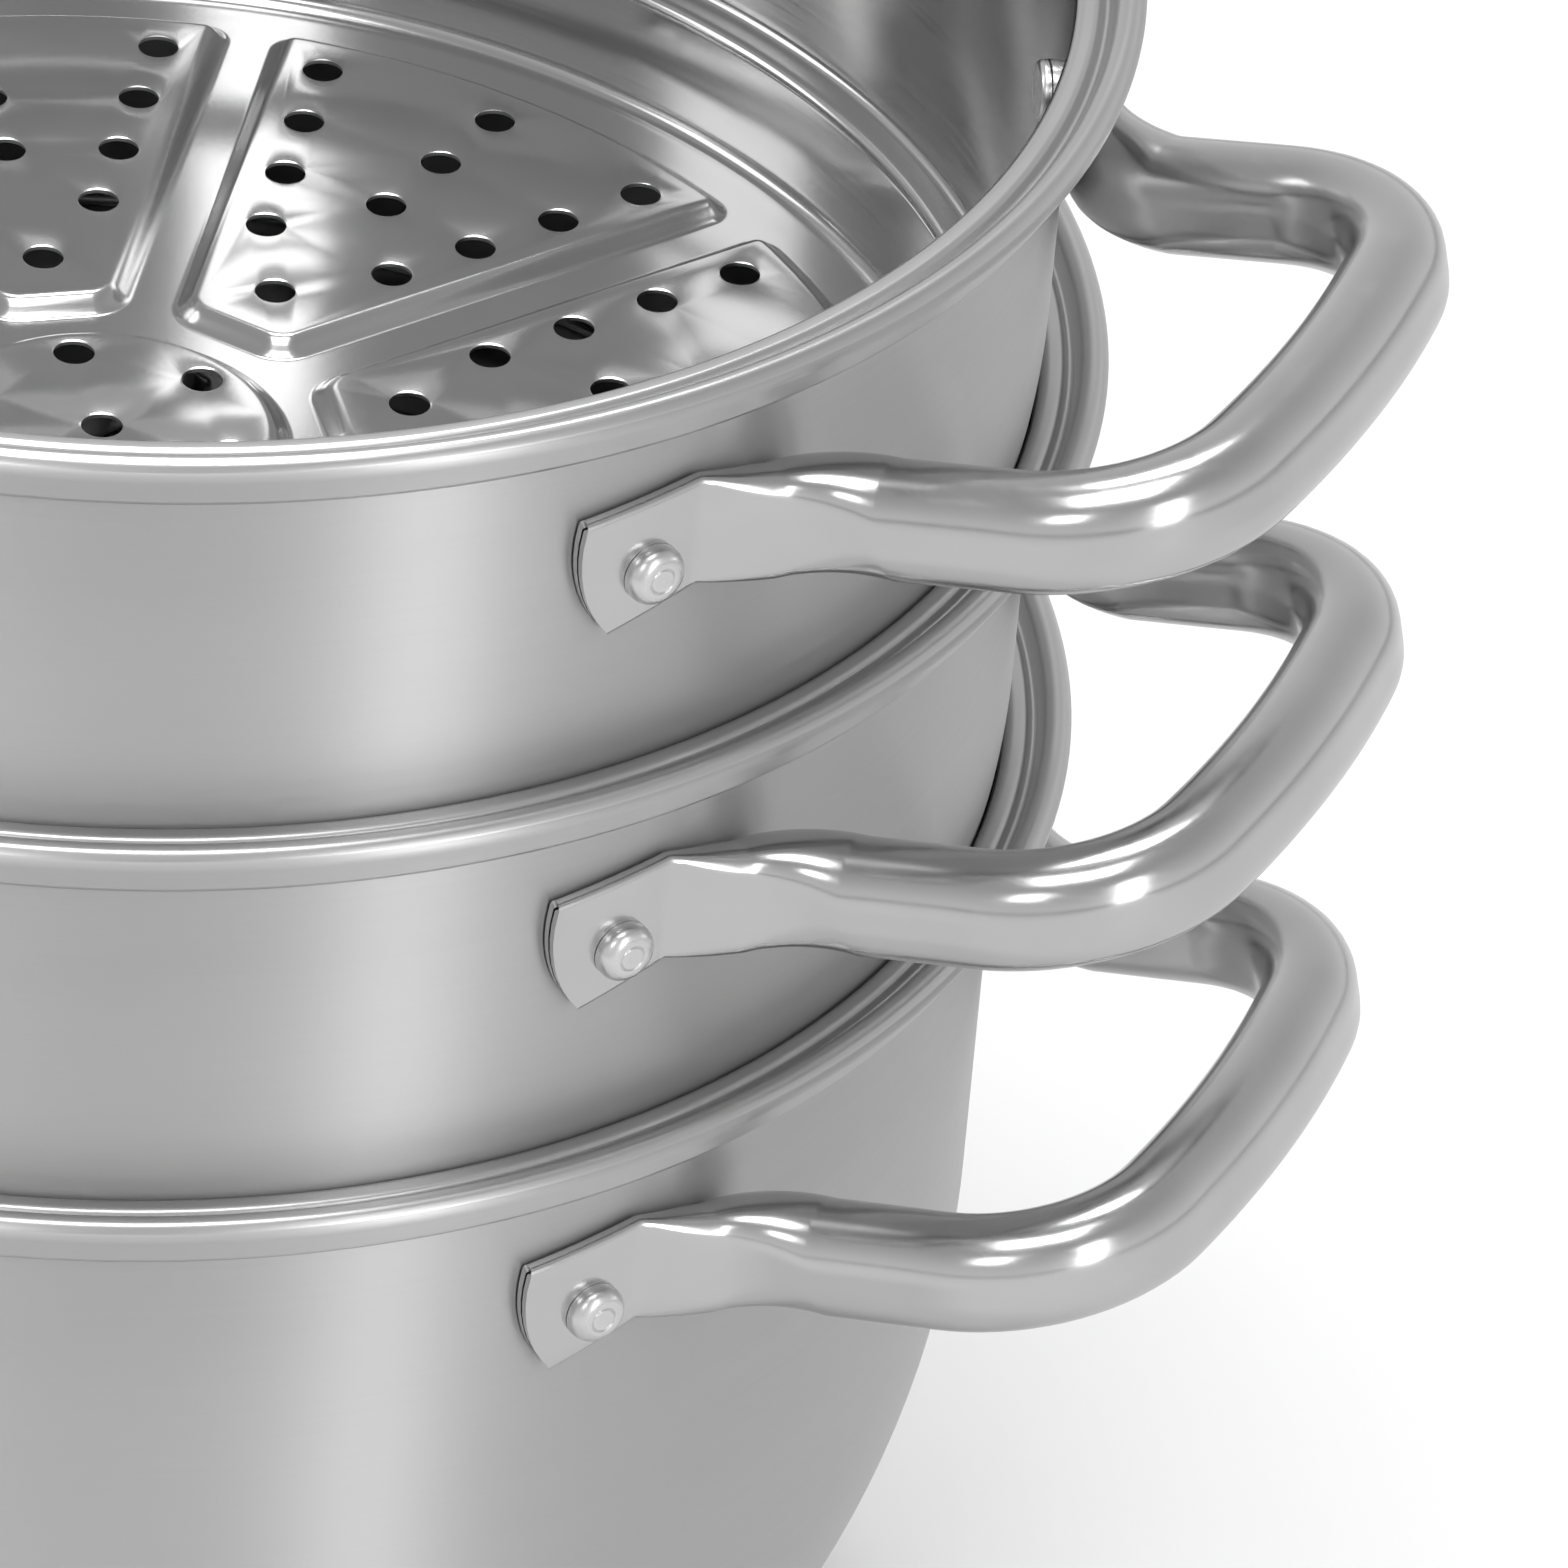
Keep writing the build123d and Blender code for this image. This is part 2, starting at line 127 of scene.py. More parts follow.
def add_node(tree: bpy.types.NodeTree, kind: str, settings: dict | None = None,
             inputs: dict | None = None) -> bpy.types.Node:
    """Adds one shader node with its settings, values and links.

    Args:
        tree: Node tree to add to.
        kind: Blender's name of the node type.
        settings: Properties to set on the node.
        inputs: Socket name or index to a value, or to the output socket that feeds it.

    Returns:
        The new node.
    """
    node = tree.nodes.new(kind)
    for name, value in (settings or {}).items():
        setattr(node, name, value)
    for key, value in (inputs or {}).items():
        if isinstance(value, bpy.types.NodeSocket):
            tree.links.new(value, node.inputs[key])
        else:
            node.inputs[key].default_value = value
    return node


@dataclass(frozen=True)
class SteelFinish:
    """A worked steel surface: its colour, its gloss and the marks of how it was made."""

    name: str
    colour: str
    colour_deep: str
    roughness: float
    spread: float
    grain_mm: float
    run_mm: float
    grain_depth: float
    wave_mm: float
    wave_depth: float
    anisotropy: float = 0.0
    turned: bool = False
    grain_low: float = 0.25
    grain_high: float = 0.75

    def build(self) -> bpy.types.Material:
        """Makes the node material of this finish.

        Returns:
            The new material.
        """
        material = bpy.data.materials.new(self.name)
        material.use_nodes = True
        tree = material.node_tree
        tree.nodes.clear()
        if self.turned:
            place = add_node(tree, "ShaderNodeAttribute", {"attribute_name": "turned"}).outputs["Vector"]
        else:
            place = add_node(tree, "ShaderNodeTexCoord").outputs["Object"]
        grain = self.grain(tree, place)
        wave = add_node(tree, "ShaderNodeTexNoise", {}, {
            "Vector": place, "Scale": 1 / (self.wave_mm * MM), "Detail": 2.0, "Roughness": 0.5})
        tint = add_node(tree, "ShaderNodeMix", {"data_type": "RGBA"}, {
            0: wave.outputs["Fac"], COLOUR_A: linear(self.colour_deep), COLOUR_B: linear(self.colour)})
        gloss = add_node(tree, "ShaderNodeMapRange", {}, {
            "Value": grain, "From Min": self.grain_low, "From Max": self.grain_high,
            "To Min": self.roughness - self.spread, "To Max": self.roughness + self.spread})
        soft = add_node(tree, "ShaderNodeBump", {}, {
            "Strength": 1.0, "Distance": self.wave_depth * MM, "Height": wave.outputs["Fac"]})
        fine = add_node(tree, "ShaderNodeBump", {}, {
            "Strength": 1.0, "Distance": self.grain_depth * MM, "Height": grain,
            "Normal": soft.outputs["Normal"]})
        shader = add_node(tree, "ShaderNodeBsdfPrincipled", {}, {
            "Base Color": tint.outputs[COLOUR_OUT], "Metallic": 1.0, "Roughness": gloss.outputs["Result"],
            "Anisotropic": self.anisotropy, "Normal": fine.outputs["Normal"]})
        if self.anisotropy > 0:
            tree.links.new(self.across_grain(tree, place), shader.inputs["Tangent"])
        add_node(tree, "ShaderNodeOutputMaterial", {}, {"Surface": shader.outputs["BSDF"]})
        return material

    def grain(self, tree: bpy.types.NodeTree, place: bpy.types.NodeSocket) -> bpy.types.NodeSocket:
        """Makes the pattern of fine working marks.

        Args:
            tree: Node tree of the material.
            place: Coordinates on the piece.

        Returns:
            Socket with the pattern's strength.
        """
        across = 1 / (self.grain_mm * MM)
        along = 1 / (self.run_mm * MM)
        scale = (along, along, across)
        if self.turned:
            parts = add_node(tree, "ShaderNodeSeparateXYZ", {}, {0: place})
            flat = add_node(tree, "ShaderNodeCombineXYZ", {}, {0: parts.outputs[0], 1: parts.outputs[1]})
            length = add_node(tree, "ShaderNodeVectorMath", {"operation": "LENGTH"}, {0: flat.outputs[0]})
            place = add_node(tree, "ShaderNodeCombineXYZ", {}, {
                0: length.outputs["Value"], 2: parts.outputs[2]}).outputs[0]
            scale = (across, along, across)
        drawn_out = add_node(tree, "ShaderNodeMapping", {}, {"Vector": place, "Scale": scale})
        return add_node(tree, "ShaderNodeTexNoise", {}, {
            "Vector": drawn_out.outputs["Vector"], "Scale": 1.0, "Detail": 3.0,
            "Roughness": 0.6}).outputs["Fac"]

    @staticmethod
    def across_grain(tree: bpy.types.NodeTree, place: bpy.types.NodeSocket) -> bpy.types.NodeSocket:
        """Makes the direction across the grain, which runs round the pot's axis.

        Args:
            tree: Node tree of the material.
            place: Coordinates on the piece.

        Returns:
            Socket with the direction.
        """
        grain = add_node(tree, "ShaderNodeVectorMath", {"operation": "CROSS_PRODUCT"}, {
            0: (0.0, 0.0, 1.0), 1: place}).outputs["Vector"]
        facing = add_node(tree, "ShaderNodeNewGeometry").outputs["True Normal"]
        return add_node(tree, "ShaderNodeVectorMath", {"operation": "CROSS_PRODUCT"}, {
            0: facing, 1: grain}).outputs["Vector"]


# Drawn stainless sheet, satin-ground round the wall: soft upright light and dark columns.
SATIN_WALL = SteelFinish(
    "satin_ground_stainless", "#CBCBCB", "#C4C4C4", roughness=0.45, spread=0.04, grain_mm=0.5, run_mm=60.0,
    grain_depth=0.0012, wave_mm=60.0, wave_depth=0.02, anisotropy=0.9)
# Drawn stainless sheet, mirror-buffed inside: soft and slightly wavy reflections.
MIRROR_INSIDE = SteelFinish(
    "mirror_buffed_stainless", "#C4C4C4", "#BCBCBC", roughness=0.17, spread=0.03, grain_mm=0.7, run_mm=30.0,
    grain_depth=0.0006, wave_mm=34.0, wave_depth=0.12)
# Rolled and buffed rim: soft bright and dark lines round the lip.
ROLLED_RIM = SteelFinish(
    "buffed_rim_stainless", "#C8C8C8", "#BEBEBE", roughness=0.3, spread=0.03, grain_mm=0.6, run_mm=40.0,
    grain_depth=0.0008, wave_mm=45.0, wave_depth=0.03)
# Handle tube, bent and tumbled bright: clear highlights with faint drawing marks.
BRIGHT_TUBE = SteelFinish(
    "bright_bent_tube", "#CCCCCC", "#BEBEBE", roughness=0.2, spread=0.04, grain_mm=0.6, run_mm=9.0,
    grain_depth=0.0012, wave_mm=22.0, wave_depth=0.05)
# Rivets with turned heads: pale rings round the centre mark.
TURNED_RIVET = SteelFinish(
    "turned_rivet_steel", "#DEDEDE", "#CFCFCF", roughness=0.3, spread=0.08, grain_mm=0.35, run_mm=3.0,
    grain_depth=0.012, wave_mm=5.0, wave_depth=0.03, turned=True)
# Rolled aluminium core, shut in by the pot and the cap: dull and pale where it is seen apart.
ROLLED_CORE = SteelFinish(
    "rolled_aluminium", "#D2D3D6", "#C8CACD", roughness=0.38, spread=0.05, grain_mm=0.6, run_mm=25.0,
    grain_depth=0.002, wave_mm=30.0, wave_depth=0.02)
# Pressed base cap, ground in circles: satin rings.
RINGED_CAP = SteelFinish(
    "ring_ground_stainless", "#C6C6C6", "#BDBDBD", roughness=0.32, spread=0.05, grain_mm=0.7, run_mm=40.0,
    grain_depth=0.0015, wave_mm=50.0, wave_depth=0.02, anisotropy=0.5)


class Workshop:
    """Keeps the finishes once made, and turns bench meshes into riding pieces."""

    def __init__(self) -> None:
        """Starts with no finishes made."""
        self.made: dict[str, bpy.types.Material] = {}

    def finish(self, finish: SteelFinish) -> bpy.types.Material:
        """Gives the material of a finish, made at its first use.

        Args:
            finish: The finish.

        Returns:
            Its material.
        """
        if finish.name not in self.made:
            self.made[finish.name] = finish.build()
        return self.made[finish.name]

    def piece(self, bench: bmesh.types.BMesh, name: str, finishes: list[SteelFinish]) -> bpy.types.Object:
        """Makes an object from a bench mesh, smooth with its true edges kept sharp.

        Args:
            bench: Mesh in metres, in the pot's frame. It is freed.
            name: Name of the new object.
            finishes: Finishes in the order of the mesh's material indices.

        Returns:
            The new object, at the origin.
        """
        for face in bench.faces:
            face.smooth = True
        mesh = bpy.data.meshes.new(name)
        bench.to_mesh(mesh)
        bench.free()
        for finish in finishes:
            mesh.materials.append(self.finish(finish))
        mesh.set_sharp_from_angle(angle=SHARP_EDGE)
        piece = bpy.data.objects.new(name, mesh)
        bpy.context.scene.collection.objects.link(piece)
        return piece

    @staticmethod
    def hand_over(piece: bpy.types.Object, body: str, slot: str, node: str) -> None:
        """Lets a piece ride on its body in place of a node.

        Args:
            piece: Finished piece.
            body: Body that carries it.
            slot: Material slot of the record; not used.
            node: Node that it replaces.
        """
        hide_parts(node)
        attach(piece, body)
        LOG.info("%s rides on %s, %d faces", piece.name, body, len(piece.data.polygons))


def turn_at(before: Point, corner: Point, after: Point) -> tuple[float, float]:
    """Heading into a corner of an outline and the signed turn there.

    Args:
        before: Point before the corner.
        corner: The corner.
        after: Point after the corner.

    Returns:
        Heading and turn, in radians.
    """
    heading = math.atan2(corner[1] - before[1], corner[0] - before[0])
    turn = math.atan2(after[1] - corner[1], after[0] - corner[0]) - heading
    return heading, math.atan2(math.sin(turn), math.cos(turn))


@dataclass
class SheetLine:
    """Middle line of a drawn sheet, bent at each corner and then spun round the axis."""

    points: list[Point]
    radii: list[float]
    steps: int = 256
    support: float = 0.35
    least_supports: float = 4.0
    tight_radius: float = 30.0
    tight_step: float = 9.0
    wide_step: float = 4.0
    fewest_steps: int = 3
    merge_gap: float = 0.002

    def draw(self, bench: bmesh.types.BMesh) -> None:
        """Draws the line in the XZ plane, with straights extruded and bends spun.

        Args:
            bench: Mesh to draw in, in metres.
        """
        tip = bmesh.ops.create_vert(bench, co=self.at(self.points[0]))["vert"][0]
        here = self.points[0]
        for index in range(1, len(self.points) - 1):
            heading, turn = turn_at(*self.points[index - 1:index + 2])
            radius = self.radii[index]
            reach = radius * math.tan(abs(turn) / 2)
            corner = self.points[index]
            start = (corner[0] - reach * math.cos(heading), corner[1] - reach * math.sin(heading))
            tip = self.straight(bench, tip, here, start)
            sign = math.copysign(1.0, turn)
            centre = (start[0] - sign * radius * math.sin(heading),
                      start[1] + sign * radius * math.cos(heading))
            spun = bmesh.ops.spin(bench, geom=[tip], cent=self.at(centre), axis=(0, -1, 0),
                                  angle=turn, steps=self.bend_steps(radius, abs(turn)))["geom_last"]
            tip = next(item for item in spun if isinstance(item, bmesh.types.BMVert))
            leaving = heading + turn
            here = (corner[0] + reach * math.cos(leaving), corner[1] + reach * math.sin(leaving))
        self.straight(bench, tip, here, self.points[-1])

    def bend_steps(self, radius: float, turn: float) -> int:
        """Steps of a bend: by its degrees where it is tight, by its length where it is wide.

        Args:
            radius: Radius of the bend, in millimetres.
            turn: Turn of the bend, in radians.

        Returns:
            Number of steps.
        """
        tight = radius < self.tight_radius
        steps = math.degrees(turn) / self.tight_step if tight else radius * turn / self.wide_step
        return max(self.fewest_steps, math.ceil(steps))

    def straight(self, bench: bmesh.types.BMesh, tip: bmesh.types.BMVert, start: Point,
                 stop: Point) -> bmesh.types.BMVert:
        """Extrudes a straight, with a short edge at each end so that its shading stays true.

        Args:
            bench: Mesh to draw in.
            tip: Vertex at the start.
            start: Start of the straight, in millimetres.
            stop: End of the straight, in millimetres.

        Returns:
            Vertex at the end.
        """
        length = math.dist(start, stop)
        shares = [1.0]
        if length > self.least_supports * self.support:
            shares.insert(0, self.support / length)
            if stop[0] != 0:
                shares.insert(1, 1 - self.support / length)
        for share in shares:
            grown = bmesh.ops.extrude_vert_indiv(bench, verts=[tip])["verts"][0]
            grown.co = Vector(self.at((start[0] + share * (stop[0] - start[0]),
                                       start[1] + share * (stop[1] - start[1]))))
            tip = grown
        return tip

    @staticmethod
    def at(point: Point) -> Place:
        """Place of an outline point in the XZ plane, in metres."""
        return point[0] * MM, 0.0, point[1] * MM

    def spin(self, bench: bmesh.types.BMesh) -> None:
        """Draws the line and spins it a full turn round the upright axis.

        Args:
            bench: Mesh to draw in, in metres.
        """
        self.draw(bench)
        bmesh.ops.spin(bench, geom=bench.verts[:] + bench.edges[:], cent=(0, 0, 0), axis=(0, 0, 1),
                       angle=math.tau, steps=self.steps, use_merge=True)
        bmesh.ops.remove_doubles(bench, verts=bench.verts[:], dist=self.merge_gap * MM)


@dataclass
class PiercedFloor:
    """Pressed and pierced floor of a basket: eight raised panels round a raised hub."""

    level: float
    ring_radius: float = 124.0
    panel_count: int = 8
    panel_phase: float = 38.0
    panel_inner: float = 35.5
    panel_outer: float = 121.0
    channel_half: float = 3.6
    corner_radius: float = 5.0
    hub_radius: float = 28.5
    rise: float = 2.5
    slope_run: float = 3.9
    slope_steps: int = 9
    foot_lead: float = 0.45
    flat_lead: float = 0.3
    hole_radius: float = 3.3
    hole_pitch: float = 15.7
    row_offset: float = 13.2
    row_start: float = 62.1
    row_count: int = 4
    apex_radius: float = 47.4
    middle_start: float = 78.7
    middle_count: int = 3
    hub_ring_radius: float = 20.4
    hub_hole_count: int = 6
    hub_hole_phase: float = 9.0
    hole_edge: float = 0.35
    hole_sink: float = 0.12
    arc_steps: int = 12
    corner_steps: int = 8
    hub_segments: int = 96
    hole_segments: int = 32
    level_slack: float = 0.1

    def build(self, bench: bmesh.types.BMesh) -> None:
        """Adds the floor inside the open ring of a spun basket.

        Args:
            bench: Mesh that holds the spun wall.
        """
        for index in range(self.panel_count):
            turn = math.radians(self.panel_phase + 360 / self.panel_count * index)
            face = self.wedge(bench, turn)
            self.press(bench, face, [self.turned(point, turn) for point in self.panel_holes()])
        disc = bmesh.ops.create_circle(bench, cap_ends=True, segments=self.hub_segments,
                                       radius=(self.hub_radius + self.foot_lead + self.flat_lead) * MM,
                                       matrix=Matrix.Translation((0, 0, self.level * MM)))
        self.press(bench, disc["verts"][0].link_faces[0], self.hub_holes())
        edges = [edge for edge in bench.edges if edge.is_boundary and
                 all(abs(vert.co.z - self.level * MM) < self.level_slack * MM for vert in edge.verts)]
        bmesh.ops.triangle_fill(bench, use_beauty=True, edges=edges, normal=(0, 0, 1))

    def wedge(self, bench: bmesh.types.BMesh, turn: float) -> bmesh.types.BMFace:
        """Draws the flat foot of one panel.

        Args:
            bench: Mesh to draw in.
            turn: Azimuth of the panel's middle, in radians.

        Returns:
            The foot as one face.
        """
        lead = self.foot_lead + self.flat_lead
        gap = self.channel_half - lead
        inner, outer = self.panel_inner - lead, self.panel_outer + lead
        half = math.pi / self.panel_count
        inner_turn = half - math.asin(gap / inner)
        outer_turn = half - math.asin(gap / outer)
        tip = bmesh.ops.create_vert(bench, co=self.place(outer, turn - outer_turn))["vert"][0]
        start = bmesh.ops.create_vert(bench, co=self.place(inner, turn - inner_turn))["vert"][0]
        swept = bmesh.ops.spin(bench, geom=[tip], cent=(0, 0, 0), axis=(0, 0, 1),
                               angle=2 * outer_turn, steps=self.arc_steps)["geom_last"]
        last = next(item for item in swept if isinstance(item, bmesh.types.BMVert))
        close = bmesh.ops.create_vert(bench, co=self.place(inner, turn + inner_turn))["vert"][0]
        ring = [start]
        walk, came = tip, None
        while walk is not None:
            ring.append(walk)
            onward = [edge for edge in walk.link_edges if edge is not came]
            came = onward[0] if onward else None
            walk = came.other_vert(walk) if came else None
        ring.append(close)
        face = bench.faces.new(ring)
        corners = [start, tip, last, close]
        rounded = bmesh.ops.bevel(bench, geom=corners, offset=self.corner_radius * MM, offset_type="OFFSET",
                                  segments=self.corner_steps, profile=0.5, affect="VERTICES", material=-1)
        return face if face.is_valid else rounded["verts"][0].link_faces[0]

    def press(self, bench: bmesh.types.BMesh, face: bmesh.types.BMFace, holes: list[Point]) -> None:
        """Raises a foot into a panel with softly rounded slopes, and pierces its top.

        Args:
            bench: Mesh that holds the foot.
            face: The foot.
            holes: Hole centres in millimetres.
        """
        self.inset(bench, face, self.flat_lead, 0.0)
        risen = 0.0
        for index in range(1, self.slope_steps + 1):
            share = index / self.slope_steps
            height = self.rise * share * share * (3 - 2 * share)
            self.inset(bench, face, self.slope_run / self.slope_steps, height - risen)
            risen = height
        self.inset(bench, face, self.flat_lead, 0.0)
        edges = list(face.edges)
        bmesh.ops.delete(bench, geom=[face], context="FACES_ONLY")
        top = (self.level + self.rise) * MM
        for x, y in holes:
            ring = bmesh.ops.create_circle(bench, cap_ends=False, segments=self.hole_segments,
                                           radius=(self.hole_radius + self.hole_edge) * MM,
                                           matrix=Matrix.Translation((x * MM, y * MM, top)))
            loop = list({edge for vert in ring["verts"] for edge in vert.link_edges})
            edges += loop
            grown = bmesh.ops.extrude_edge_only(bench, edges=loop)["geom"]
            for vert in (item for item in grown if isinstance(item, bmesh.types.BMVert)):
                offset = vert.co.xy - Vector((x * MM, y * MM))
                vert.co.xy -= offset.normalized() * self.hole_edge * MM
                vert.co.z -= self.hole_sink * MM
        bmesh.ops.triangle_fill(bench, use_beauty=True, edges=edges, normal=(0, 0, 1))

    def inset(self, bench: bmesh.types.BMesh, face: bmesh.types.BMFace, run: float, lift: float) -> None:
        """Insets a face and lifts it.

        Args:
            bench: Mesh that holds the face.
            face: The face, which stays the inner one.
            run: Width of the inset, in millimetres.
            lift: Height of the lift, in millimetres.
        """
        bmesh.ops.inset_region(bench, faces=[face], thickness=run * MM, use_even_offset=True,
                               use_boundary=True)
        for vert in face.verts:
            vert.co.z += lift * MM

    def place(self, radius: float, turn: float) -> Place:
        """Point of the floor at a radius in millimetres and an azimuth in radians."""
        return radius * math.cos(turn) * MM, radius * math.sin(turn) * MM, self.level * MM

    @staticmethod
    def turned(point: Point, turn: float) -> Point:
        """Point turned about the axis by an angle in radians."""
        x, y = point
        return x * math.cos(turn) - y * math.sin(turn), x * math.sin(turn) + y * math.cos(turn)

    def panel_holes(self) -> list[Point]:
        """Places the holes of one panel about the X axis.

        Returns:
            Hole centres in millimetres.
        """
        half = math.pi / self.panel_count
        holes = [(self.apex_radius, 0.0)]
        holes += [(self.middle_start + self.hole_pitch * index, 0.0) for index in range(self.middle_count)]
        for index in range(self.row_count):
            along = self.row_start + self.hole_pitch * index
            x = along * math.cos(half) + self.row_offset * math.sin(half)
            y = along * math.sin(half) - self.row_offset * math.cos(half)
            holes += [(x, y), (x, -y)]
        return holes

    def hub_holes(self) -> list[Point]:
        """Places the holes of the hub.

        Returns:
            Hole centres in millimetres.
        """
        holes = [(0.0, 0.0)]
        for index in range(self.hub_hole_count):
            turn = math.radians(self.hub_hole_phase + 360 / self.hub_hole_count * index)
            holes.append((self.hub_ring_radius * math.cos(turn), self.hub_ring_radius * math.sin(turn)))
        return holes


@dataclass
class Vessel:
    """One vessel of the stack, spun from sheet and finished in and out."""

    tier: Tier
    workshop: Workshop
    wall_radius: float = 140.0
    sheet: float = 0.8
    tier_pitch: float = 65.0
    bead_width: float = 3.0
    bead_drop: float = 2.4
    bead_corner: float = 1.6
    groove_width: float = 3.4
    groove_depth: float = 5.0
    groove_corner: float = 1.0
    lip_width: float = 3.8
    lip_drop: float = 2.2
    lip_corner: float = 1.5
    skirt_height: float = 8.6
    skirt_inset: float = 3.8
    skirt_corner: float = 1.2
    curl_gap: float = 0.5
    bead_foot: float = 3.4
    skirt_start: float = 147.4
    skirt_drop: float = 2.0
    wall_slack: float = 0.2
    probe_drop: float = 30.0

    @property
    def mid_wall(self) -> float:
        """Radius of the wall's middle line."""
        return self.wall_radius - self.sheet / 2

    def rim(self) -> tuple[list[Point], list[float]]:
        """Draws the rim from the curl's end to the wall's top.

        Returns:
            Corner points and bend radii.
        """
        top = self.tier.lip - self.sheet / 2
        foot = top - self.skirt_height
        bead = self.mid_wall + self.bead_width
        inner = bead + self.groove_width
        outer = inner + self.lip_width
        points = [(self.wall_radius + self.curl_gap + self.sheet / 2, foot), (outer - self.skirt_inset, foot),
                  (outer, top - self.lip_drop), ((inner + outer) / 2, top), (inner, top - self.lip_drop / 2),
                  ((bead + inner) / 2, top - self.groove_depth), (bead, top - self.bead_drop),
                  (self.mid_wall, top - self.bead_drop)]
        return points, [0.0, self.skirt_corner, self.lip_corner, self.lip_corner, self.lip_corner,
                        self.groove_corner, self.groove_corner, self.bead_corner]

    def body_line(self) -> tuple[list[Point], list[float]]:
        """Corner points and bend radii below the rim."""
        raise NotImplementedError

    def shape_floor(self, bench: bmesh.types.BMesh) -> None:
        """Closes nothing here: a pot's spun line reaches the axis, and a basket fills its own floor."""

    def skin(self, centre: Vector) -> Skin:
        """Chooses the finish of the sheet's inner side; Solidify gives the outer side the next one.

        Args:
            centre: Centre of a face, in metres.

        Returns:
            Place in the vessel's list of finishes.
        """
        out, level = centre.xy.length, centre.z
        if out > self.skirt_start * MM and level < (self.tier.lip - self.skirt_drop) * MM:
            return Skin.OUTSIDE
        if level > (self.tier.lip - self.bead_foot) * MM or out > (self.wall_radius + self.wall_slack) * MM:
            return Skin.RIM
        return Skin.INSIDE

    def build(self) -> None:
        """Spins the vessel, gives its sheet a thickness and hands it over."""
        points, radii = self.rim()
        more_points, more_radii = self.body_line()
        bench = bmesh.new()
        SheetLine(points + more_points, radii + more_radii).spin(bench)
        self.shape_floor(bench)
        bmesh.ops.recalc_face_normals(bench, faces=bench.faces[:])
        self.face_inwards(bench)
        for face in bench.faces:
            face.material_index = self.skin(face.calc_center_median()).value
        piece = self.workshop.piece(bench, self.tier.body + "_sheet",
                                    [MIRROR_INSIDE, SATIN_WALL, ROLLED_RIM, ROLLED_RIM])
        self.thicken(piece)
        self.workshop.hand_over(piece, self.tier.body, "drawn_steel", self.tier.body + "_shell")

    def face_inwards(self, bench: bmesh.types.BMesh) -> None:
        """Turns all faces so that the sheet's inside is its front.

        Args:
            bench: Mesh of the sheet's middle surface.
        """
        level = (self.tier.lip - self.probe_drop) * MM
        wall = min(bench.faces, key=lambda face: abs(face.calc_center_median().z - level))
        if wall.normal.xy.dot(wall.calc_center_median().xy) > 0:
            bmesh.ops.reverse_faces(bench, faces=bench.faces[:])

    def thicken(self, piece: bpy.types.Object) -> None:
        """Gives the sheet its thickness and keeps the result as the piece's mesh.

        Args:
            piece: Piece made from the sheet's middle surface.
        """
        solid = piece.modifiers.new("sheet", "SOLIDIFY")
        solid.thickness = self.sheet * MM
        solid.offset = 0.0
        solid.use_even_offset = True
        solid.material_offset = 1
        solid.material_offset_rim = 1
        graph = bpy.context.evaluated_depsgraph_get()
        mesh = bpy.data.meshes.new_from_object(piece.evaluated_get(graph))
        piece.modifiers.clear()
        piece.data = mesh
        mesh.set_sharp_from_angle(angle=SHARP_EDGE)


@dataclass
class Pot(Vessel):
    """Deep pot with a straight wall, a deep belly and a bonded base."""

    belly_start: float = 108.0
    belly_radius: float = 148.0
    belly_straight: float = 1.5
    corner_radius: float = 14.0
    base_height: float = 5.1

    def body_line(self) -> tuple[list[Point], list[float]]:
        """Draws the wall, belly and bottom of the pot.

        Returns:
            Corner points and bend radii.
        """
        floor = self.base_height + self.sheet / 2
        run = self.belly_radius - self.corner_radius
        sink = self.belly_start - floor - self.corner_radius
        turn = math.asin(sink / math.hypot(run, self.belly_straight)) - math.atan2(self.belly_straight, run)
        corner = self.belly_start - self.belly_radius * math.tan(turn / 2)
        foot = self.mid_wall - (corner - floor) * math.tan(turn)
        points = [(self.mid_wall, corner), (foot, floor), (0.0, floor)]
        return points, [self.belly_radius, self.corner_radius, 0.0]

    def dress_base(self) -> None:
        """Gives the bonded base its finishes."""
        for node, finish in (("base_core", ROLLED_CORE), ("base_cap", RINGED_CAP)):
            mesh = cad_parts[node].data
            mesh.materials.clear()
            mesh.materials.append(self.workshop.finish(finish))
            LOG.info("%s keeps its solid", node)


